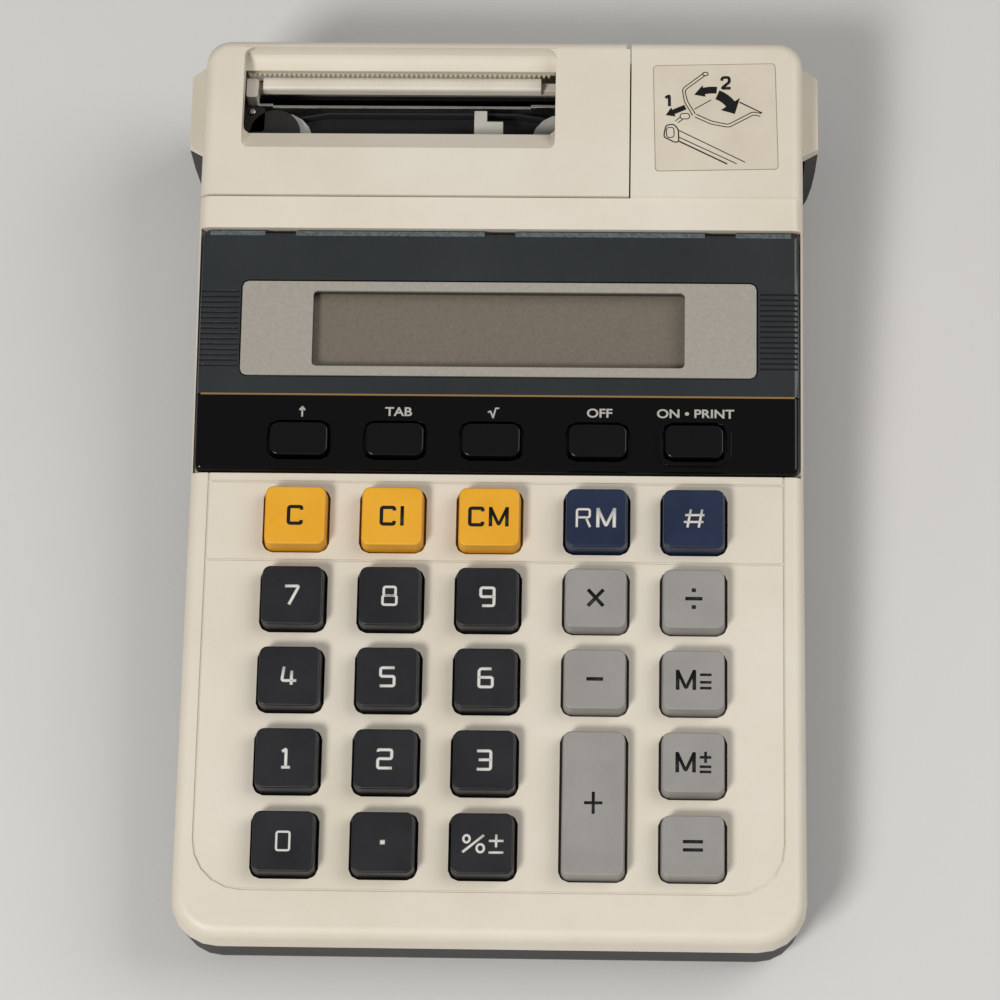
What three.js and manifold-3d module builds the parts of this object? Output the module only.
// A portable printing calculator: a wedge-shaped desk adding machine with a liquid crystal display,
// a keyboard of sprung keys and a small ribbon printer under a lift-up cover.
// Units are millimetres. X runs to the right, Y to the rear and Z up. The origin is the middle of
// the footprint, on the surface that the feet stand on.
import * as THREE from 'three';
import { mergeVertices } from 'three/addons/utils/BufferGeometryUtils.js';
import Module from 'manifold-3d';

const manifoldLibrary = await Module();
manifoldLibrary.setup();

// Driving dimensions of the case
const frontHeight = 20;
const splitHeight = 15;
const floorHeight = 1.2;
const wall = 2;
const draft = 0.5;
const edgeRadius = 2.4;
const frontCornerRadius = 9.5;
const rearCornerRadius = 5.5;
const gap = 0.3;
const overrun = 3;

// Slopes of the top, in degrees
const keypadSlope = 4;
const panelSlope = 7.3;
const bandSlope = 8.6;
const printerSlope = 3;

// Lengths along the top, from the front edge to the rear edge
const keypadRearMargin = 3.72;
const stripRearMargin = 5.7;
const displayRearMargin = 10.8;
const bandLength = 6.8;
const printerStep = 0.5;
const printerStepRun = 0.3;
const printerLength = 34.95;

// Keyboard
const keyWidth = 12.4;
const keyDepth = 12.4;
const keyRise = 3.6;
const keyBevel = 0.5;
const keyTopInset = 0.45;
const keyCornerRadius = 1.6;
const keyFlange = 0.9;
const keyFlangeThickness = 1;
const keyHoleGap = 0.4;
const rowPitch = 16.27;
const bottomRow = 18.4;
const columnPitch = 19;
const operatorColumnGap = 21;
const keyboardSideMargin = 22;
const keyGrooveWidth = 0.45;
const keyGrooveDepth = 0.3;
const keyTopLineInset = 1.9;

// Function keys in the glossy strip
const functionKeyWidth = 12;
const functionKeyDepth = 7.2;
const functionKeyRise = 1.1;
const functionKeyBevel = 0.5;
const functionKeyCornerRadius = 1.8;
const functionKeyRow = 6.4;
const surroundWall = 0.9;
const surroundRise = 0.5;

// Display
const panelRim = 1.3;
const panelThickness = 2.4;
const panelEdgeRadius = 1.1;
const panelProud = 0.8;
const deckThickness = 1.6;
const bezelSideInset = 9.8;
const bezelBorder = 1.95;
const bezelInset = 4;
const bezelThickness = 0.8;
const bezelCornerRadius = 1.2;
const screenSideInset = 14.2;
const screenDepth = 15.6;
const screenCornerRadius = 0.8;
const glassThickness = 1.6;
const glassBorder = 2.5;
const lipDepth = 1.4;
const lipDrop = 0.7;
const lipSlotWidth = 6;
const lipSlotDepth = 0.9;
const lipSlotPitch = 44;
const louvreCount = 15;
const louvrePitch = 1.1;
const louvreWidth = 0.35;
const louvreDepth = 0.3;
const louvreLength = 7.6;
const louvreInset = 1.7;

// Printer cover and its paper window
const coverSeamReach = 15;
const coverDrop = 10.2;
const coverTabWidth = 3.3;
const coverTabLength = 2.2;
const coverTabThickness = 1.2;
const coverTabShares = [-0.398, 0.116];
const fingerNotchWidth = 0.7;
const fingerNotchDepth = 2.6;
const windowInset = 8.4;
const windowRightInset = 50.3;
const windowRearRim = 2.4;
const windowDepth = 23;
const windowFrontRun = 5.3;
const windowRearCurve = 3.6;
const windowFrameDrop = 4;
const windowFrameWall = 1.2;

// Side bulges over the pivots of the paper bail
const bulgeReach = 2.9;
const bulgeRear = 2.9;
const bulgeLength = 18;
const bulgeDrop = 8.2;
const bulgeSlant = 1.7;
const bulgeRearSlant = 2.2;
const bulgeCap = 2.2;
const earBottom = 1.5;

// Lower case
const lowerInset = 0.8;
const lowerTaper = 3.4;
const lowerRadius = 5;
const floorThickness = 2;
const footRadius = 5;
const footPad = 0.6;
const footInsetX = 14;
const footFrontInset = 15;
const footRearInset = 28;
const screwBossRadius = 3.2;
const screwHoleRadius = 2;
const screwBossHeight = 7;
const screwInsetX = 15;
const screwFrontInset = 32;
const screwRearInset = 36;

// Batteries and their door
const cellRadius = 7.1;
const cellLength = 50.5;
const cellPitch = 13.8;
const cellFloorGap = 0.4;
const bayBailMargin = 4;
const bayMargin = 1.2;
const bayWall = 1.2;
const doorGap = 0.3;

// Circuit board and rubber key mat, below the keypad
const matDrop = 5.6;
const matThickness = 1;
const matPadRise = 0.4;
const matPadRadius = 3.4;
const boardThickness = 1.6;
const boardMargin = 3.2;
const boardFront = 7;
const boardRearReach = 12.6;
const boardPostRadius = 1.6;
const boardPostRowShares = [0.5, 3.5];

// Paper bail: a bent wire that folds under the case
const bailWireRadius = 1.4;
const bailInset = 4.4;
const bailLength = 33;
const bailPivotRear = 11.5;
const bailPivotHeight = 7;
const bailStowHeight = 3.2;
const bailBendRadius = 2.5;
const bailJog = 26;
const bailPinReach = 4.6;
const bailSwing = 202;
const bailClearance = 0.35;
const bailTunnelWall = 1.2;

// Printer mechanism
const frameFloor = 10;
const frameThickness = 1.5;
const frameLeftReach = 2;
const frameRightReach = 9.9;
const frameTopDrop = 8.2;
const frameFrontInset = 27.5;
const frameRearInset = 3.9;
const motorPlateGap = 5.6;
const motorRadius = 7.6;
const motorLength = 24;
const motorShaftRadius = 1;
const gearModule = 0.6;
const gearWidth = 2.2;
const gearDedendumShare = 1.2;
const gearAddendumShare = 0.85;
const toothRootShare = 0.27;
const toothTipShare = 0.11;
const gearGap = 0.5;
const pinionTeeth = 12;
const feedGearTeeth = 24;
const feedAxisInset = 10;
const feedAxisDrop = 17.6;
const feedRollerRadius = 4;
const feedShaftRadius = 1.5;
const rodRadius = 1.5;
const rodInset = 19;
const rodDrop = 19;
const rodClearance = 0.3;
const carriageInset = 13.7;
const carriageWidth = 10;
const carriageHeight = 8;
const carriageDepth = 7;
const hammerWidth = 2.6;
const hammerFootWidth = 5.9;
const hammerRise = 2;
const hammerRearInset = 10.4;
const hammerStepInset = 12.8;
const hammerThickness = 1.4;
const spoolLeftReach = 7.3;
const spoolRightReach = 1.3;
const spoolInset = 16.4;
const spoolRadius = 6.3;
const spoolHubRadius = 1.6;
const spoolHubRise = 0.8;
const spoolWoundRadius = 4.4;
const spoolFlange = 0.6;
const spoolDrop = 9.8;
const ribbonHeight = 2.4;
const ribbonThickness = 0.4;
const ribbonRunInset = 10;
const ribbonPostShare = 0.16;
const shelfThickness = 1.4;
const shelfHalfWidth = 7.4;
const shelfRear = 2.6;
const spindleRadius = 0.9;
const platenInset = 8.6;
const platenDrop = 10.4;
const platenThickness = 0.6;
const platenStep = 0.7;
const platenStepLength = 5.2;
const platenEndReach = 1.7;
const guideLeftReach = 3.4;
const guideRightReach = 3.1;
const guideRear = 6.4;
const guideDepth = 2.6;
const guideDrop = 5.9;
const guideHeight = 2.4;
const guideRound = 0.8;
const guidePostWidth = 2.6;
const guidePostGap = 0.9;
const tearDrop = 4.6;
const tearThickness = 0.7;
const tearRear = 4.5;
const tearDepth = 1.5;
const toothPitch = 1;
const toothDepth = 0.8;

// Rear sockets
const inletHeight = 5;
const inletWidth = 60;
const jackInset = 20;
const jackRise = 10;
const jackRadius = 2.8;
const jackBodyWidth = 9;
const jackBodyLength = 10;
const jackBlind = 8;
const jackPinRadius = 0.8;
const jackPinLength = 6.5;

// Facets of round shapes
const cornerSteps = 5;
const earSteps = 4;
const edgeSteps = 4;
const keyCornerSteps = 2;
const roundSides = 18;
const wireSides = 8;
const padSides = 6;

const radians = THREE.MathUtils.degToRad;
const fullTurn = 360;

// Widths, from the key columns outwards
const keyboardWidth = 3 * columnPitch + operatorColumnGap;
const caseWidth = keyboardWidth + 2 * keyboardSideMargin;
const halfWidth = caseWidth / 2;
const bezelWidth = caseWidth - 2 * bezelSideInset;
const screenWidth = bezelWidth - 2 * screenSideInset;

// Lengths along the top, from what each stretch carries
const keyRowCount = 5;
const keypadLength = bottomRow + (keyRowCount - 1) * rowPitch + keyDepth / 2 + keypadRearMargin;
const stripLength = functionKeyRow + functionKeyDepth / 2 + stripRearMargin;
const bezelDepth = screenDepth + 2 * bezelBorder;
const bezelFront = stripLength + bezelInset;
const screenFront = bezelFront + bezelBorder;
const louvreFront = bezelFront + louvreInset;
const panelLength = bezelFront + bezelDepth + displayRearMargin;
const caseDepth = keypadLength * Math.cos(radians(keypadSlope)) + panelLength * Math.cos(radians(panelSlope))
  + bandLength * Math.cos(radians(bandSlope)) + printerStepRun + printerLength * Math.cos(radians(printerSlope));
const frontY = -caseDepth / 2;
const rearY = caseDepth / 2;

// The line of the top, as places (y, z) from front to rear
const panelFrontY = frontY + keypadLength * Math.cos(radians(keypadSlope));
const panelFrontZ = frontHeight + keypadLength * Math.sin(radians(keypadSlope));
const panelRearY = panelFrontY + panelLength * Math.cos(radians(panelSlope));
const panelRearZ = panelFrontZ + (panelRearY - panelFrontY) * Math.tan(radians(bandSlope));
const bandRearY = panelRearY + bandLength * Math.cos(radians(bandSlope));
const bandRearZ = panelRearZ + bandLength * Math.sin(radians(bandSlope));
const printerFrontY = bandRearY + printerStepRun;
const printerFrontZ = bandRearZ + printerStep;
const rearTopZ = printerFrontZ + (rearY - printerFrontY) * Math.tan(radians(printerSlope));
const topLine = [
  [frontY, frontHeight],
  [panelFrontY, panelFrontZ],
  [panelRearY, panelRearZ],
  [bandRearY, bandRearZ],
  [printerFrontY, printerFrontZ],
  [rearY, rearTopZ],
];

function topHeight(y) {
  let index = 1;
  while (index < topLine.length - 1 && y > topLine[index][0]) index += 1;
  const [y0, z0] = topLine[index - 1];
  const [y1, z1] = topLine[index];
  return z0 + (z1 - z0) * (y - y0) / (y1 - y0);
}

// The printer's places, from the rear, left and top of its window
const windowRearY = rearY - windowRearRim;
const windowFrontY = windowRearY - windowDepth;
const windowLeft = -halfWidth + windowInset;
const windowRight = halfWidth - windowRightInset;
const windowTop = topHeight(windowRearY);
const coverSeam = windowRight + coverSeamReach;
const coverBottom = windowTop - coverDrop;
const bulgeTop = windowTop - bulgeDrop;
const frameTop = windowTop - frameTopDrop;
const frameLeft = windowLeft - frameLeftReach;
const frameRight = windowRight + frameRightReach;
const frameFront = windowRearY - frameFrontInset;
const frameRear = windowRearY - frameRearInset;
const motorPlate = frameRight + motorPlateGap;
const feedAxisY = windowRearY - feedAxisInset;
const feedAxisZ = windowTop - feedAxisDrop;
const rodPlaceY = windowRearY - rodInset;
const rodZ = windowTop - rodDrop;
const carriageCentre = windowRight - carriageInset;
const hammerRear = windowRearY - hammerRearInset;
const hammerStepRear = windowRearY - hammerStepInset;
const spoolLeftX = windowLeft + spoolLeftReach;
const spoolRightX = windowRight + spoolRightReach;
const spoolY = windowRearY - spoolInset;
const spoolTop = windowTop - spoolDrop;
const hammerTop = spoolTop + hammerRise;
const ribbonRunY = windowRearY - ribbonRunInset;
const platenY = windowRearY - platenInset;
const platenTop = windowTop - platenDrop;
const guideLeft = windowLeft + guideLeftReach;
const guideRight = windowRight - guideRightReach;
const guideTop = windowTop - guideDrop;
const tearTop = windowTop - tearDrop;
const jackX = halfWidth - jackInset;
const jackZ = frameFloor + jackRise;
const bailHalfWidth = halfWidth - bailInset;
const boardLength = keypadLength + boardRearReach - boardFront;

// Frames that lie on the sloped faces: X across, Y up the slope, Z out of the face
function slopedFrame(y, z, slope) {
  const frame = new THREE.Matrix4().makeRotationX(radians(slope));
  return frame.setPosition(0, y, z);
}
const keypadFrame = slopedFrame(frontY, frontHeight, keypadSlope);
const panelFrame = slopedFrame(panelFrontY, panelFrontZ + panelProud, panelSlope);

// Materials
function plastic(colour, roughness) {
  return new THREE.MeshStandardMaterial({ color: colour, roughness, metalness: 0 });
}
function metal(colour, roughness) {
  return new THREE.MeshStandardMaterial({ color: colour, roughness, metalness: 1 });
}
const materials = {
  cream: plastic('#ddd3bd', 0.55),
  darkCase: plastic('#3b3a3c', 0.6),
  panel: plastic('#3c474b', 0.2),
  strip: plastic('#141312', 0.15),
  bezel: plastic('#a8a59c', 0.45),
  screen: plastic('#8c8373', 0.3),
  digitKey: plastic('#34323c', 0.4),
  clearKey: plastic('#f0ac28', 0.4),
  memoryKey: plastic('#1f335f', 0.4),
  operatorKey: plastic('#a29e9b', 0.45),
  functionKey: plastic('#151413', 0.2),
  rubber: plastic('#22211f', 0.9),
  mat: plastic('#8d8a84', 0.8),
  board: plastic('#2f5a35', 0.6),
  mechanism: plastic('#25231f', 0.6),
  gear: plastic('#d2cec2', 0.5),
  carriage: plastic('#c9c6bf', 0.5),
  ribbon: plastic('#131216', 0.95),
  guide: plastic('#efeade', 0.5),
  tear: plastic('#d9cfae', 0.35),
  steel: metal('#b9b7b0', 0.35),
  cell: plastic('#31506e', 0.4),
};

// Shapes: each returns a solid that can be joined and cut
function solidFrom(geometry) {
  const bare = geometry.index ? geometry.toNonIndexed() : geometry.clone();
  bare.deleteAttribute('normal');
  bare.deleteAttribute('uv');
  const welded = mergeVertices(bare);
  return new manifoldLibrary.Manifold(new manifoldLibrary.Mesh({
    numProp: 3,
    vertProperties: new Float32Array(welded.attributes.position.array),
    triVerts: new Uint32Array(welded.index.array),
  }));
}

function geometryFrom(solid) {
  const mesh = solid.getMesh();
  const geometry = new THREE.BufferGeometry();
  geometry.setAttribute('position', new THREE.BufferAttribute(new Float32Array(mesh.vertProperties), 3));
  geometry.setIndex(new THREE.BufferAttribute(new Uint32Array(mesh.triVerts), 1));
  geometry.computeVertexNormals();
  return geometry;
}

function placed(geometry, frame) {
  return solidFrom(frame ? geometry.applyMatrix4(frame) : geometry);
}

function joined(first, ...rest) {
  return rest.reduce((whole, piece) => whole.add(piece), first);
}

function cut(first, ...rest) {
  return rest.reduce((whole, piece) => whole.subtract(piece), first);
}

function block(x0, x1, y0, y1, z0, z1, frame) {
  const geometry = new THREE.BoxGeometry(x1 - x0, y1 - y0, z1 - z0);
  return placed(geometry.translate((x0 + x1) / 2, (y0 + y1) / 2, (z0 + z1) / 2), frame);
}

function shapeOf(points, hole) {
  const shape = new THREE.Shape(points.map(([x, y]) => new THREE.Vector2(x, y)));
  if (hole) shape.holes.push(new THREE.Path(hole.map(([x, y]) => new THREE.Vector2(x, y))));
  return shape;
}

function extruded(points, depth, hole) {
  return new THREE.ExtrudeGeometry(shapeOf(points, hole), { depth, bevelEnabled: false });
}

// A prism whose outline (y, z) runs along X, and one whose outline (x, y) stands up along Z
const alongX = new THREE.Matrix4().makeBasis(
  new THREE.Vector3(0, 1, 0), new THREE.Vector3(0, 0, 1), new THREE.Vector3(1, 0, 0));

function prismX(points, x0, x1, frame) {
  return placed(extruded(points, x1 - x0).applyMatrix4(alongX).translate(x0, 0, 0), frame);
}

function prismZ(points, z0, z1, frame, hole) {
  return placed(extruded(points, z1 - z0, hole).translate(0, 0, z0), frame);
}

function barAlongX(radius, x0, x1, y, z, sides = roundSides) {
  const geometry = new THREE.CylinderGeometry(radius, radius, x1 - x0, sides);
  return solidFrom(geometry.rotateZ(Math.PI / 2).translate((x0 + x1) / 2, y, z));
}

function barAlongY(radius, x, y0, y1, z, sides = roundSides) {
  const geometry = new THREE.CylinderGeometry(radius, radius, y1 - y0, sides);
  return solidFrom(geometry.translate(x, (y0 + y1) / 2, z));
}

function post(radius, x, y, z0, z1, sides = roundSides) {
  const geometry = new THREE.CylinderGeometry(radius, radius, z1 - z0, sides);
  return solidFrom(geometry.rotateX(Math.PI / 2).translate(x, y, (z0 + z1) / 2));
}

function arc(cx, cy, radius, from, to, steps) {
  const points = [];
  for (let i = 0; i <= steps; i += 1) {
    const angle = radians(from + (to - from) * i / steps);
    points.push([cx + radius * Math.cos(angle), cy + radius * Math.sin(angle)]);
  }
  return points;
}

function roundedRectangle(x0, x1, y0, y1, radius, steps = keyCornerSteps) {
  return [
    ...arc(x1 - radius, y0 + radius, radius, -90, 0, steps),
    ...arc(x1 - radius, y1 - radius, radius, 0, 90, steps),
    ...arc(x0 + radius, y1 - radius, radius, 90, 180, steps),
    ...arc(x0 + radius, y0 + radius, radius, 180, 270, steps),
  ];
}

// A stack of rings of equal counts, joined side by side and closed by a fan at each end
function stackedRings(rings) {
  const count = rings[0].length;
  const positions = [];
  const face = (a, b, c) => positions.push(...a, ...b, ...c);
  for (let k = 0; k < rings.length - 1; k += 1) {
    for (let i = 0; i < count; i += 1) {
      const j = (i + 1) % count;
      face(rings[k][i], rings[k][j], rings[k + 1][j]);
      face(rings[k][i], rings[k + 1][j], rings[k + 1][i]);
    }
  }
  const bottom = rings[0];
  const top = rings[rings.length - 1];
  for (let i = 0; i < count / 2 - 1; i += 1) {
    const mirror = count - 1 - i;
    face(top[i], top[i + 1], top[mirror - 1]);
    face(top[i], top[mirror - 1], top[mirror]);
    face(bottom[i], bottom[mirror - 1], bottom[i + 1]);
    face(bottom[i], bottom[mirror], bottom[mirror - 1]);
  }
  const geometry = new THREE.BufferGeometry();
  geometry.setAttribute('position', new THREE.BufferAttribute(new Float32Array(positions), 3));
  return geometry;
}

// The plan of the case, set in by a given amount: the right side from front to rear, then its mirror
function casePlan(inset) {
  const x = halfWidth - inset;
  const y0 = frontY + inset;
  const y1 = rearY - inset;
  const front = Math.max(frontCornerRadius - inset, draft);
  const rear = Math.max(rearCornerRadius - inset, draft);
  const creases = topLine.slice(1, -1).map(([y]) => [x, y]);
  const right = [
    ...arc(x - front, y0 + front, front, -90, 0, cornerSteps),
    ...creases,
    ...arc(x - rear, y1 - rear, rear, 0, 90, cornerSteps),
  ];
  return [...right, ...right.map(([px, py]) => [-px, py]).reverse()];
}

function caseRing(inset, height) {
  return casePlan(inset).map(([x, y]) => [x, y, height(y)]);
}

// A block with the outline of the case, from a flat base up to the line of the top
function caseBlock(inset, base, lift, radius) {
  const rings = [caseRing(inset, () => base)];
  for (let k = 0; k <= edgeSteps; k += 1) {
    const angle = radians(90 * k / edgeSteps);
    const ringInset = inset + draft + radius * (1 - Math.cos(angle));
    const drop = radius * (1 - Math.sin(angle)) - lift;
    rings.push(caseRing(ringInset, (y) => topHeight(y) - drop));
  }
  return solidFrom(stackedRings(rings));
}

// Key columns and rows
const columns = [
  -keyboardWidth / 2,
  -keyboardWidth / 2 + columnPitch,
  -keyboardWidth / 2 + 2 * columnPitch,
  keyboardWidth / 2 - columnPitch,
  keyboardWidth / 2,
];
const keyRows = [
  ['zero', 'point', 'percent_sign', null, 'equals'],
  ['one', 'two', 'three', 'plus', 'memory_plus_minus'],
  ['four', 'five', 'six', 'minus', 'memory_equals'],
  ['seven', 'eight', 'nine', 'multiply', 'divide'],
  ['clear', 'clear_entry', 'clear_memory', 'recall_memory', 'item_count'],
];
const functionKeys = ['feed', 'tab', 'root', 'off', 'on_print'];
const tallKey = 'plus';

function keyPlaces() {
  const places = [];
  keyRows.forEach((row, r) => row.forEach((name, c) => {
    if (!name) return;
    const tall = name === tallKey;
    const depth = tall ? keyDepth + rowPitch : keyDepth;
    const y = bottomRow + rowPitch * r - (tall ? rowPitch / 2 : 0);
    places.push({ name, x: columns[c], y, depth, row: r, column: c });
  }));
  return places;
}

function keyMaterial({ row, column }) {
  if (row === keyRows.length - 1) return column > 2 ? materials.memoryKey : materials.clearKey;
  return column > 2 ? materials.operatorKey : materials.digitKey;
}

// A key cap with the flange that keeps it under the deck
function keySolid(width, depth, radius, rise, bevel, deck) {
  const ring = (grow, z) => {
    const x = width / 2 + grow;
    const y = depth / 2 + grow;
    return roundedRectangle(-x, x, -y, y, radius + Math.max(grow, -radius / 2)).map(([px, py]) => [px, py, z]);
  };
  const flangeTop = -deck - gap;
  return solidFrom(stackedRings([
    ring(keyFlange, flangeTop - keyFlangeThickness),
    ring(keyFlange, flangeTop),
    ring(0, flangeTop),
    ring(-keyTopInset / 2, rise - bevel),
    ring(-keyTopInset / 2 - bevel, rise),
  ]));
}

function keyHole(place, width, depth, radius, deck, frame) {
  const x = width / 2 + keyHoleGap;
  const y = depth / 2 + keyHoleGap;
  const outline = roundedRectangle(place.x - x, place.x + x, place.y - y, place.y + y, radius + keyHoleGap);
  return prismZ(outline, -deck - overrun, overrun, frame);
}

// The pocket that the display panel and the glossy strip share
function panelPocket(grow) {
  const x = halfWidth - panelRim + grow;
  return block(-x, x, -grow, panelLength + grow, -panelThickness - grow, overrun + panelThickness, panelFrame);
}

function bulgeOutline(side, inner, reach) {
  const outer = halfWidth + reach;
  const rear = rearY - bulgeRear;
  const front = rear - bulgeLength;
  const slant = reach / bulgeReach;
  const points = [
    [inner, front - slant * bulgeSlant], [halfWidth, front - slant * bulgeSlant], [outer, front],
    [outer, rear - slant * bulgeRearSlant], [halfWidth, rear], [inner, rear],
  ].map(([x, y]) => [side * x, y]);
  return side > 0 ? points : points.reverse();
}

// The cap over a pivot, on the side wall: the right one belongs to the upper case, the left one to the printer cover
function bulge(side) {
  return prismZ(bulgeOutline(side, halfWidth - wall, bulgeReach), bulgeTop - bulgeCap, bulgeTop);
}

// The ear of the lower case under a cap: it narrows downwards and stands clear of the upper case's wall
function ear(side) {
  const top = bulgeTop - bulgeCap - gap;
  const rings = [];
  for (let k = earSteps; k >= 0; k -= 1) {
    const angle = radians(90 * k / (earSteps + 1));
    const reach = bulgeReach * Math.cos(angle);
    const z = top - (top - earBottom) * Math.sin(angle);
    rings.push(bulgeOutline(side, halfWidth - wall, reach).map(([x, y]) => [x, y, z]));
  }
  const inside = block(-halfWidth - gap, halfWidth + gap, printerFrontY, rearY + overrun,
    splitHeight - gap, top + overrun);
  return cut(solidFrom(stackedRings(rings)), inside);
}

const bailPivotY = rearY - bailPivotRear;
const bailCrossY = bailPivotY - bailLength;

// The space that a leg of the bail sweeps, and that its groove and rear notch leave open
function bailSweep(x, grow) {
  const reach = bailWireRadius + grow;
  const open = radians(bailSwing - 180);
  const far = rearY + overrun;
  const lift = reach / Math.cos(open) + (far - bailPivotY) * Math.tan(open);
  const points = [
    [bailCrossY - reach, -overrun],
    [far, -overrun],
    [far, bailPivotHeight + lift],
    [bailPivotY, bailPivotHeight + reach / Math.cos(open)],
    [bailPivotY - bailBendRadius, bailPivotHeight + reach],
    [bailPivotY - bailJog, bailStowHeight + reach],
    [bailCrossY - reach, bailStowHeight + reach],
  ];
  return prismX(points, x - reach, x + reach);
}

// The lid box: everything of the skin that lifts with the printer cover
function coverBox(grow) {
  const far = halfWidth + overrun;
  return block(-far, coverSeam + grow, printerFrontY - grow, rearY + overrun, coverBottom - grow, rearTopZ + overrun);
}

function caseShell() {
  const outer = caseBlock(0, splitHeight, 0, edgeRadius);
  const inner = caseBlock(wall, splitHeight - overrun, -wall, edgeRadius / 2);
  return cut(outer, inner);
}

function printerCover() {
  const top = topHeight(windowRearY);
  const frontTop = topHeight(windowFrontY);
  const low = top - windowFrameDrop;
  const frame = block(windowLeft - windowFrameWall, windowRight + windowFrameWall,
    windowFrontY - windowFrameWall, windowRearY + windowFrameWall / 2, low, frontTop - wall / 2);
  const rearWall = arc(windowRearY - windowRearCurve, top, windowRearCurve, 0, -90, cornerSteps);
  const window = prismX([
    [windowFrontY - overrun * windowFrontRun / windowFrameDrop, frontTop + overrun],
    [windowFrontY + windowFrontRun, low],
    [windowFrontY + windowFrontRun, low - overrun],
    [windowRearY - windowRearCurve, low - overrun],
    ...rearWall.slice().reverse(),
    [windowRearY, top + overrun],
  ], windowLeft, windowRight);
  const tabs = coverTabShares.map((share) => {
    const x = share * caseWidth;
    const z = printerFrontZ - printerStep - wall - gap;
    return block(x, x + coverTabWidth, printerFrontY - coverTabLength, printerFrontY + wall,
      z - coverTabThickness, z).add(
      block(x, x + coverTabWidth, printerFrontY + gap, printerFrontY + wall, z - coverTabThickness, z + wall));
  });
  const skin = caseShell().intersect(coverBox(0));
  const notch = block(coverSeam - fingerNotchWidth, coverSeam + overrun, rearY - fingerNotchDepth,
    rearY + overrun, coverBottom, rearTopZ + overrun);
  const leftCap = bulge(-1).intersect(coverBox(0));
  return cut(joined(skin, frame, leftCap, ...tabs), window, notch);
}

function upperCase() {
  const floorX = halfWidth - wall / 2 - draft;
  const deck = block(-floorX, floorX, -gap - wall, panelLength + gap + wall,
    -panelThickness - gap - deckThickness, -panelThickness - gap, panelFrame);
  const shell = joined(caseShell(), deck.intersect(caseBlock(draft, splitHeight, -gap, edgeRadius)),
    bulge(1), ...boardPosts());
  const holes = keyPlaces().map((place) => keyHole(place, keyWidth, place.depth, keyCornerRadius, wall, keypadFrame));
  const wellHalf = functionKeyDepth / 2 + keyFlange + 2 * gap;
  const functionWell = block(columns[0] - functionKeyWidth, columns[4] + functionKeyWidth,
    functionKeyRow - wellHalf, functionKeyRow + wellHalf, -panelThickness - deckThickness - overrun, 0, panelFrame);
  const glassX = screenWidth / 2 + glassBorder + gap;
  const glassWell = block(-glassX, glassX, screenFront - glassBorder - gap,
    screenFront + screenDepth + glassBorder + gap, -panelThickness - deckThickness - overrun, 0, panelFrame);
  const inlet = block(windowLeft, windowLeft + inletWidth, rearY - wall - overrun, rearY + overrun,
    coverBottom - inletHeight, coverBottom + gap);
  const jackHole = barAlongY(jackRadius + gap, jackX, rearY - wall - overrun, rearY + overrun, jackZ);
  const sweeps = [bailHalfWidth, -bailHalfWidth].map((x) => bailSweep(x, bailClearance));
  return cut(shell, panelPocket(gap), functionWell, glassWell, ...holes, keypadGrooves(),
    coverBox(gap), inlet, jackHole, ...sweeps);
}

// Posts under the deck that press on the key mat, in the aisles between the key columns
function boardPosts() {
  const aisles = [(columns[0] + columns[1]) / 2, (columns[2] + columns[3]) / 2, (columns[3] + columns[4]) / 2];
  return aisles.flatMap((x) => boardPostRowShares.map((row) => {
    const stem = new THREE.CylinderGeometry(boardPostRadius, boardPostRadius, matDrop - gap - wall / 2, wireSides);
    stem.rotateX(Math.PI / 2).translate(x, bottomRow + row * rowPitch, -(matDrop - gap + wall / 2) / 2);
    return placed(stem, keypadFrame);
  }));
}

// Fine lines in the keypad: a U round the keys that runs out under the strip, and two lines across it
function keypadGrooves() {
  const x = halfWidth - wall - edgeRadius;
  const w = keyGrooveWidth;
  const y0 = bottomRow - keyDepth / 2 - edgeRadius;
  const y1 = keypadLength + frontCornerRadius;
  const outline = (grow) => roundedRectangle(-x - grow, x + grow, y0 - grow, y1,
    frontCornerRadius + grow, cornerSteps);
  const loop = prismZ(outline(w / 2), -keyGrooveDepth, overrun, keypadFrame, outline(-w / 2));
  const lines = [bottomRow + (keyRows.length - 3 / 2) * rowPitch, keypadLength - keyTopLineInset].map((line) =>
    block(-x, x, line - w / 2, line + w / 2, -keyGrooveDepth, overrun, keypadFrame));
  const keypadSpace = block(-halfWidth, halfWidth, 0, keypadLength + gap, -wall, overrun, keypadFrame);
  return joined(loop, ...lines).intersect(keypadSpace);
}

function lowerBlock(inset, top, bottom, radius) {
  const rings = [];
  for (let k = 0; k <= edgeSteps; k += 1) {
    const angle = radians(90 * k / edgeSteps);
    const ringInset = inset + lowerTaper * (1 - Math.sin(angle));
    rings.push(caseRing(ringInset, () => bottom + radius * (1 - Math.cos(angle))));
  }
  rings.push(caseRing(inset, () => top));
  return solidFrom(stackedRings(rings));
}

const bayRear = bailCrossY - bayBailMargin;
const bayFront = bayRear - 2 * cellPitch - 2 * bayMargin;
const bayHalf = cellLength + bayMargin;

function feetPlaces() {
  const x = halfWidth - footInsetX;
  return [
    ['foot_front_left', -x, frontY + footFrontInset],
    ['foot_front_right', x, frontY + footFrontInset],
    ['foot_rear_left', -x, rearY - footRearInset],
    ['foot_rear_right', x, rearY - footRearInset],
  ];
}

function screwPlaces() {
  const x = halfWidth - screwInsetX;
  return [
    [-x, frontY + screwFrontInset], [x, frontY + screwFrontInset],
    [-x, rearY - screwRearInset], [x, rearY - screwRearInset],
  ];
}

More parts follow.
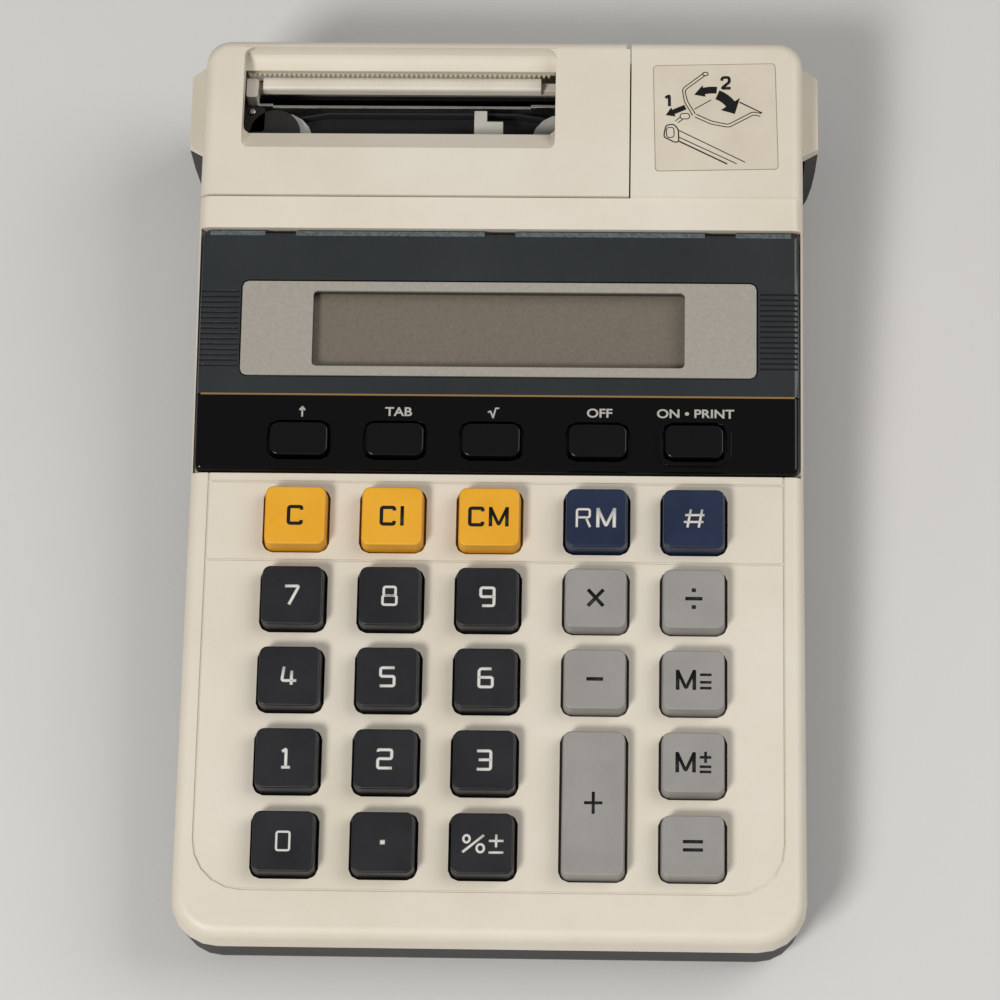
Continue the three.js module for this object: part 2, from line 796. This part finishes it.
function lowerCase() {
  const top = splitHeight - gap;
  const underFrame = frameFloor - gap;
  const outer = lowerBlock(lowerInset, top, floorHeight, lowerRadius);
  const inner = lowerBlock(lowerInset + wall, top + overrun, floorHeight + floorThickness, lowerRadius - wall);
  const reach = bailWireRadius + bailClearance + bailTunnelWall;
  const tunnels = [1, -1].map((side) => block(side * bailHalfWidth - reach, side * bailHalfWidth + reach,
    bailCrossY - reach, rearY, floorHeight, underFrame));
  const cross = block(-bailHalfWidth, bailHalfWidth, bailCrossY - reach, bailCrossY + reach,
    floorHeight, bailStowHeight + reach);
  const bay = block(-bayHalf - bayWall, bayHalf + bayWall, bayFront - bayWall, bayRear + bayWall,
    floorHeight, underFrame);
  const bosses = screwPlaces().map(([x, y]) => post(screwBossRadius, x, y, floorHeight, screwBossHeight));
  const body = joined(cut(outer, inner), ...bosses, bay, ...tunnels, cross)
    .intersect(outer).add(ear(1)).add(ear(-1));
  const bayHole = block(-bayHalf, bayHalf, bayFront, bayRear, floorHeight + floorThickness, top + overrun);
  const doorHole = block(-bayHalf + bayMargin, bayHalf - bayMargin, bayFront, bayRear,
    -overrun, floorHeight + floorThickness + overrun);
  const screwHoles = screwPlaces().map(([x, y]) =>
    post(screwHoleRadius, x, y, -overrun, screwBossHeight - floorThickness));
  const footWells = feetPlaces().map(([, x, y]) => post(footRadius + gap, x, y, -overrun, floorHeight + footPad));
  const crossReach = bailWireRadius + bailClearance;
  const crossGroove = block(-bailHalfWidth, bailHalfWidth, bailCrossY - crossReach, bailCrossY + crossReach,
    -overrun, bailStowHeight + crossReach);
  const pivotHole = barAlongX(bailWireRadius + bailClearance, -bailHalfWidth - bailPinReach - gap,
    bailHalfWidth + bailPinReach + gap, bailPivotY, bailPivotHeight, wireSides);
  const inside = block(-bailHalfWidth + reach, bailHalfWidth - reach, bailPivotY - reach, bailPivotY + reach,
    floorHeight + floorThickness, top + overrun);
  return cut(body, bayHole, doorHole, ...screwHoles, ...footWells, crossGroove,
    bailSweep(bailHalfWidth, bailClearance), bailSweep(-bailHalfWidth, bailClearance), pivotHole, inside);
}

function displaySlab() {
  const x = halfWidth - panelRim;
  const r = panelEdgeRadius;
  const rings = [[0, -panelThickness], [0, -r]];
  for (let k = 1; k <= edgeSteps; k += 1) {
    const angle = radians(90 * k / edgeSteps);
    rings.push([r * (1 - Math.cos(angle)), -r * (1 - Math.sin(angle))]);
  }
  return solidFrom(stackedRings(rings.map(([inset, z]) => roundedRectangle(
    -x + inset, x - inset, inset, panelLength - inset / edgeSteps, r + gap - inset).map(([px, py]) => [px, py, z])))
  );
}

function displayPanel() {
  const x = halfWidth;
  const rearHalf = block(-x, x, stripLength + gap / 2, panelLength + overrun, -panelThickness - gap, overrun);
  const lipEnd = panelLength + overrun;
  const lip = prismX([
    [panelLength - lipDepth, 0], [lipEnd, -(lipDepth + overrun) * lipDrop / lipDepth],
    [lipEnd, overrun], [panelLength - lipDepth, overrun],
  ], -x, x);
  const slots = [-1, 0, 1].map((k) => block(k * lipSlotPitch - lipSlotWidth / 2, k * lipSlotPitch + lipSlotWidth / 2,
    panelLength - lipDepth / 2, panelLength + overrun, -lipDrop - lipSlotDepth, overrun));
  const bezelWell = prismZ(roundedRectangle(-bezelWidth / 2 - gap, bezelWidth / 2 + gap, bezelFront - gap,
    bezelFront + bezelDepth + gap, bezelCornerRadius + gap), -bezelThickness - gap, overrun);
  const screenHole = prismZ(roundedRectangle(-screenWidth / 2, screenWidth / 2, screenFront,
    screenFront + screenDepth, screenCornerRadius), -panelThickness - overrun, overrun);
  const louvres = [];
  for (let k = 0; k < louvreCount; k += 1) {
    const y = louvreFront + k * louvrePitch;
    const inner = bezelWidth / 2 + gap + louvreWidth;
    [1, -1].forEach((side) => louvres.push(block(Math.min(side * inner, side * (inner + louvreLength)),
      Math.max(side * inner, side * (inner + louvreLength)), y, y + louvreWidth, -louvreDepth, overrun)));
  }
  return cut(displaySlab().intersect(rearHalf), lip, ...slots, bezelWell, screenHole, ...louvres);
}

function functionPanel() {
  const frontHalf = block(-halfWidth, halfWidth, -overrun, stripLength - gap / 2, -panelThickness - gap, overrun);
  const onKey = { x: columns[4], y: functionKeyRow };
  const x = functionKeyWidth / 2 + keyHoleGap + surroundWall;
  const y = functionKeyDepth / 2 + keyHoleGap + surroundWall;
  const surround = prismZ(roundedRectangle(onKey.x - x, onKey.x + x, onKey.y - y, onKey.y + y,
    functionKeyCornerRadius + surroundWall), -panelThickness, surroundRise);
  const holes = columns.map((column) => keyHole({ x: column, y: functionKeyRow },
    functionKeyWidth, functionKeyDepth, functionKeyCornerRadius, panelThickness));
  return cut(displaySlab().intersect(frontHalf).add(surround), ...holes);
}

function lcdBezel() {
  const outline = roundedRectangle(-bezelWidth / 2, bezelWidth / 2, bezelFront, bezelFront + bezelDepth,
    bezelCornerRadius);
  const opening = roundedRectangle(-screenWidth / 2, screenWidth / 2, screenFront, screenFront + screenDepth,
    screenCornerRadius);
  return prismZ(outline, -bezelThickness, 0, null, opening);
}

function lcdGlass() {
  const x = screenWidth / 2 + glassBorder;
  return block(-x, x, screenFront - glassBorder, screenFront + screenDepth + glassBorder,
    -panelThickness - gap - glassThickness, -panelThickness - gap);
}

function keyMat() {
  const x = halfWidth - wall - boardMargin;
  const sheet = block(-x, x, boardFront, boardFront + boardLength, -matDrop - matThickness, -matDrop);
  const pads = keyPlaces().map((place) => post(matPadRadius, place.x, place.y,
    -matDrop - matThickness, -matDrop + matPadRise, padSides));
  return joined(sheet, ...pads);
}

function circuitBoard() {
  const x = halfWidth - wall - boardMargin;
  const top = -matDrop - matThickness - gap;
  return block(-x, x, boardFront, boardFront + boardLength, top - boardThickness, top);
}

// The bail: leg pin, leg, cross bar, leg and leg pin, as one bent wire
function paperBail() {
  const place = (x, y, z) => new THREE.Vector3(x, y, z);
  const corners = [
    place(-bailHalfWidth - bailPinReach, bailPivotY, bailPivotHeight),
    place(-bailHalfWidth, bailPivotY, bailPivotHeight),
    place(-bailHalfWidth, bailPivotY - bailJog, bailStowHeight),
    place(-bailHalfWidth, bailCrossY, bailStowHeight),
    place(bailHalfWidth, bailCrossY, bailStowHeight),
    place(bailHalfWidth, bailPivotY - bailJog, bailStowHeight),
    place(bailHalfWidth, bailPivotY, bailPivotHeight),
    place(bailHalfWidth + bailPinReach, bailPivotY, bailPivotHeight),
  ];
  const points = [corners[0]];
  for (let i = 1; i < corners.length - 1; i += 1) {
    const before = corners[i].clone().sub(corners[i - 1]);
    const after = corners[i + 1].clone().sub(corners[i]);
    const reach = Math.min(bailBendRadius, before.length() / 3, after.length() / 3);
    const start = corners[i].clone().addScaledVector(before.normalize(), -reach);
    const end = corners[i].clone().addScaledVector(after.normalize(), reach);
    const bend = new THREE.QuadraticBezierCurve3(start, corners[i], end);
    points.push(...bend.getPoints(edgeSteps));
  }
  points.push(corners[corners.length - 1]);
  return tubeAlong(points, bailWireRadius, wireSides);
}

// A round wire through a list of points, with its section square to the path at each
function tubeAlong(points, radius, sides) {
  let side = new THREE.Vector3(0, 0, 1);
  const rings = points.map((point, i) => {
    const before = points[Math.max(i - 1, 0)];
    const after = points[Math.min(i + 1, points.length - 1)];
    const along = after.clone().sub(before).normalize();
    side = side.addScaledVector(along, -side.dot(along)).normalize();
    const across = along.clone().cross(side);
    return arc(0, 0, radius, 0, fullTurn * (sides - 1) / sides, sides - 1).map(([u, v]) => {
      const place = point.clone().addScaledVector(side, u).addScaledVector(across, v);
      return [place.x, place.y, place.z];
    });
  });
  return solidFrom(stackedRings(rings));
}

function batteryPack() {
  const z = floorHeight + floorThickness + cellFloorGap + cellRadius;
  const rows = [0, 1].map((row) => {
    const y = bayFront + bayMargin + cellPitch * (row + 1 / 2);
    return barAlongX(cellRadius, -cellLength, cellLength, y, z);
  });
  return joined(...rows);
}

function batteryDoor() {
  const x = bayHalf - bayMargin - doorGap;
  return block(-x, x, bayFront + doorGap, bayRear - doorGap, floorHeight, floorHeight + floorThickness);
}

// A spur gear's outline: straight-sided teeth that taper from the root to the tip
function gearOutline(teeth, phase) {
  const pitch = gearModule * teeth / 2;
  const points = [];
  for (let k = 0; k < teeth; k += 1) {
    const step = 2 * Math.PI / teeth;
    const centre = step * (k + phase);
    const root = pitch - gearDedendumShare * gearModule;
    const tip = pitch + gearAddendumShare * gearModule;
    const tooth = [[root, -toothRootShare], [tip, -toothTipShare], [tip, toothTipShare], [root, toothRootShare]];
    tooth.forEach(([radius, share]) => {
      const angle = centre + share * step;
      points.push([radius * Math.cos(angle), radius * Math.sin(angle)]);
    });
  }
  return points;
}

const gearLeft = frameRight + frameThickness + gearGap;
const motorY = feedAxisY - gearModule * (pinionTeeth + feedGearTeeth) / 2;
const motorZ = feedAxisZ;

function gearSolid(teeth, phase, bore, y, z) {
  const outline = gearOutline(teeth, phase).map(([u, v]) => [y + u, z + v]);
  return cut(prismX(outline, gearLeft, gearLeft + gearWidth),
    barAlongX(bore + gap / 2, gearLeft - overrun, gearLeft + gearWidth + overrun, y, z, wireSides));
}

function feedRoller() {
  const end = gap + frameThickness;
  return joined(
    barAlongX(feedRollerRadius, frameLeft + frameThickness + gap, frameRight - gap, feedAxisY, feedAxisZ),
    barAlongX(feedShaftRadius, frameLeft - end, gearLeft + gearWidth + gap, feedAxisY, feedAxisZ, wireSides));
}

function motor() {
  const start = motorPlate + frameThickness + gap;
  return joined(barAlongX(motorRadius, start, start + motorLength, motorY, motorZ),
    barAlongX(motorShaftRadius, gearLeft, start + gap, motorY, motorZ, wireSides));
}

function sidePlate(x, holes) {
  const outline = [
    [frameFront, frameFloor], [frameRear, frameFloor], [frameRear, frameTop - 4 * frameThickness],
    [frameRear - 2 * frameThickness, frameTop], [spoolY, frameTop - 3 * frameThickness],
    [frameFront, frameTop - 6 * frameThickness],
  ];
  return cut(prismX(outline, x, x + frameThickness), ...holes);
}

function printerFrame() {
  const base = block(frameLeft, motorPlate + frameThickness + motorLength, frameFront, frameRear,
    frameFloor, frameFloor + frameThickness);
  const feedHole = barAlongX(feedShaftRadius + gap, frameLeft - overrun, frameRight + overrun, feedAxisY, feedAxisZ);
  const rodHole = barAlongX(rodRadius + gap, frameLeft - overrun, frameRight + overrun, rodPlaceY, rodZ);
  const shelves = [spoolLeftX, spoolRightX].map((x) => {
    const z = spoolTop - 2 * spoolFlange - ribbonHeight - gap;
    const left = x < 0 ? frameLeft : x - shelfHalfWidth;
    const right = x < 0 ? x + shelfHalfWidth : frameRight + frameThickness;
    return block(left, right, spoolY - shelfHalfWidth, spoolY + shelfRear, z - shelfThickness, z)
      .add(post(spindleRadius, x, spoolY, z - shelfThickness, spoolTop, wireSides));
  });
  const motorHole = barAlongX(motorShaftRadius + gap, motorPlate - overrun,
    motorPlate + frameThickness + overrun, motorY, motorZ);
  const mount = cut(block(motorPlate, motorPlate + frameThickness, frameFront, frameRear, frameFloor,
    motorZ + motorRadius), motorHole);
  const cradle = block(motorPlate + frameThickness + motorLength / 2, motorPlate + frameThickness + motorLength,
    motorY - motorRadius / 2, motorY + motorRadius / 2, frameFloor, motorZ - motorRadius - gap);
  return joined(base, sidePlate(frameLeft, [feedHole, rodHole]), sidePlate(frameRight, [feedHole, rodHole]),
    ...shelves, mount, cradle);
}

function carriageRod() {
  return barAlongX(rodRadius, frameLeft - gap, frameRight + frameThickness, rodPlaceY, rodZ, wireSides * 2);
}

function printCarriage() {
  const x0 = carriageCentre - carriageWidth / 2;
  const x1 = carriageCentre + carriageWidth / 2;
  const body = block(x0, x1, rodPlaceY - carriageDepth / 2, rodPlaceY + carriageDepth / 2,
    rodZ - carriageHeight / 2, rodZ + carriageHeight / 2);
  const left = carriageCentre - hammerFootWidth / 2;
  const arm = prismZ([
    [left, rodPlaceY - carriageDepth / 2], [left + hammerFootWidth, rodPlaceY - carriageDepth / 2],
    [left + hammerFootWidth, hammerStepRear], [left + hammerWidth, hammerStepRear],
    [left + hammerWidth, hammerRear], [left, hammerRear],
  ], hammerTop - hammerThickness, hammerTop);
  const neck = block(left, left + hammerFootWidth, rodPlaceY - carriageDepth / 2, rodPlaceY, rodZ, hammerTop);
  const bore = barAlongX(rodRadius + rodClearance, x0 - overrun, x1 + overrun, rodPlaceY, rodZ);
  return cut(joined(body, neck, arm), bore);
}

// A ribbon spool: lathe of two flanges, the wound ribbon between them and a bored hub
function ribbonSpool() {
  const base = spoolTop - 2 * spoolFlange - ribbonHeight;
  const bore = spindleRadius + gap / 2;
  const profile = [
    [bore, base], [spoolRadius, base], [spoolRadius, base + spoolFlange],
    [spoolWoundRadius, base + spoolFlange], [spoolWoundRadius, spoolTop - spoolFlange],
    [spoolRadius, spoolTop - spoolFlange], [spoolRadius, spoolTop], [spoolHubRadius + spoolHubRise, spoolTop],
    [spoolHubRadius + spoolHubRise, spoolTop + spoolHubRise], [bore, spoolTop + spoolHubRise], [bore, base],
  ];
  const lathe = new THREE.LatheGeometry(profile.map(([r, z]) => new THREE.Vector2(r, z)), roundSides);
  return solidFrom(lathe.rotateX(Math.PI / 2));
}

function ribbon() {
  const z0 = spoolTop - spoolFlange - ribbonHeight + gap / 2;
  const y0 = spoolY + spoolWoundRadius + gap;
  const span = spoolRightX - spoolLeftX;
  const postLeft = spoolLeftX + ribbonPostShare * span;
  const postRight = spoolRightX - ribbonPostShare * span;
  const line = [[spoolLeftX, y0], [postLeft, ribbonRunY], [postRight, ribbonRunY], [spoolRightX, y0]];
  const back = line.map(([x, y]) => [x, y + ribbonThickness]).reverse();
  return prismZ([...line, ...back], z0, spoolTop - spoolFlange - gap / 2);
}

function platenPlate() {
  const x0 = frameLeft + frameThickness + gap;
  const x1 = frameRight - gap;
  const low = feedAxisZ + feedRollerRadius;
  const y0 = platenY;
  const lower = block(x0, x1, y0, y0 + platenThickness, low, platenTop);
  const step = platenStepLength;
  return joined(lower,
    block(windowLeft + platenEndReach, windowLeft + step, y0, y0 + platenThickness, low, platenTop + platenStep),
    block(windowRight - step, x1, y0, y0 + platenThickness, low, platenTop + platenStep));
}

function paperGuide() {
  const y1 = rearY - guideRear;
  const y0 = y1 - guideDepth;
  const outline = [[y1, guideTop], [y1, guideTop - guideHeight], [y0, guideTop - guideHeight],
    ...arc(y0 + guideRound, guideTop - guideRound, guideRound, 180, 90, edgeSteps)];
  const bar = prismX(outline.reverse(), guideLeft, guideRight);
  const rail = block(frameLeft + frameThickness + gap, frameRight - gap, y0 + guideRound, y1,
    guideTop - guideHeight - frameThickness, guideTop - guideHeight + gap);
  const x1 = guideLeft - guidePostGap;
  const leftPost = block(x1 - guidePostWidth, x1, y0, y1,
    guideTop - guideHeight - frameThickness, guideTop);
  return joined(bar, rail, leftPost);
}

function tearBar() {
  const y1 = rearY - tearRear;
  const y0 = y1 - tearDepth;
  const x0 = windowLeft + gap;
  const x1 = windowRight - gap;
  const points = [[x1, y0], [x1, y1], [x0, y1], [x0, y0]];
  const count = Math.floor((x1 - x0) / toothPitch);
  for (let k = 0; k < count; k += 1) {
    const x = x0 + k * toothPitch;
    points.push([x + toothPitch / 2, y0 - toothDepth], [x + toothPitch, y0]);
  }
  if (x0 + count * toothPitch > x1 - gap) points.pop();
  return prismZ(points, tearTop - tearThickness, tearTop);
}

function rubberFoot() {
  return post(footRadius, 0, 0, 0, floorHeight + footPad - gap);
}

function dcJack() {
  const y1 = rearY - wall - draft - gap;
  const half = jackBodyWidth / 2;
  const body = block(jackX - half, jackX + half, y1 - jackBodyLength, y1, jackZ - half, jackZ + half);
  const bore = barAlongY(jackRadius, jackX, y1 - jackBlind, y1 + overrun, jackZ);
  const pin = barAlongY(jackPinRadius, jackX, y1 - jackBlind - gap, y1 - jackBlind + jackPinLength, jackZ, wireSides);
  return cut(body, bore).add(pin);
}

// Assembly
const machine = new THREE.Group();
const keypad = new THREE.Group();
keypad.applyMatrix4(keypadFrame);
const panel = new THREE.Group();
panel.applyMatrix4(panelFrame);
machine.add(keypad, panel);

function addPiece(parent, name, solid, material, x = 0, y = 0, z = 0) {
  const mesh = new THREE.Mesh(geometryFrom(solid), material);
  mesh.name = name;
  mesh.position.set(x, y, z);
  parent.add(mesh);
}

addPiece(machine, 'upper_case', upperCase(), materials.cream);
addPiece(machine, 'lower_case', lowerCase(), materials.darkCase);
addPiece(machine, 'printer_cover', printerCover(), materials.cream);
addPiece(panel, 'display_panel', displayPanel(), materials.panel);
addPiece(panel, 'function_panel', functionPanel(), materials.strip);
addPiece(panel, 'lcd_bezel', lcdBezel(), materials.bezel);
addPiece(panel, 'lcd_glass', lcdGlass(), materials.screen);
addPiece(keypad, 'key_mat', keyMat(), materials.mat);
addPiece(keypad, 'circuit_board', circuitBoard(), materials.board);

keyPlaces().forEach((place) => {
  const solid = keySolid(keyWidth, place.depth, keyCornerRadius, keyRise, keyBevel, wall);
  addPiece(keypad, `key_${place.name}`, solid, keyMaterial(place), place.x, place.y);
});
functionKeys.forEach((name, k) => {
  const solid = keySolid(functionKeyWidth, functionKeyDepth, functionKeyCornerRadius,
    functionKeyRise, functionKeyBevel, panelThickness);
  addPiece(panel, `key_${name}`, solid, materials.functionKey, columns[k], functionKeyRow);
});

addPiece(machine, 'printer_frame', printerFrame(), materials.mechanism);
addPiece(machine, 'feed_roller', feedRoller(), materials.rubber);
addPiece(machine, 'feed_gear', gearSolid(feedGearTeeth, 0, feedShaftRadius, feedAxisY, feedAxisZ), materials.gear);
addPiece(machine, 'motor', motor(), materials.steel);
addPiece(machine, 'motor_pinion', gearSolid(pinionTeeth, 0.5, motorShaftRadius, motorY, motorZ), materials.gear);
addPiece(machine, 'carriage_rod', carriageRod(), materials.steel);
addPiece(machine, 'print_carriage', printCarriage(), materials.carriage);
addPiece(machine, 'ribbon_spool_left', ribbonSpool(), materials.gear, spoolLeftX, spoolY);
addPiece(machine, 'ribbon_spool_right', ribbonSpool(), materials.gear, spoolRightX, spoolY);
addPiece(machine, 'ribbon', ribbon(), materials.ribbon);
addPiece(machine, 'platen_plate', platenPlate(), materials.steel);
addPiece(machine, 'paper_guide', paperGuide(), materials.guide);
addPiece(machine, 'tear_bar', tearBar(), materials.tear);
addPiece(machine, 'paper_bail', paperBail(), materials.steel);
addPiece(machine, 'battery_pack', batteryPack(), materials.cell);
addPiece(machine, 'battery_door', batteryDoor(), materials.darkCase);
addPiece(machine, 'dc_jack', dcJack(), materials.rubber);
feetPlaces().forEach(([name, x, y]) => addPiece(machine, name, rubberFoot(), materials.rubber, x, y));

export default machine;
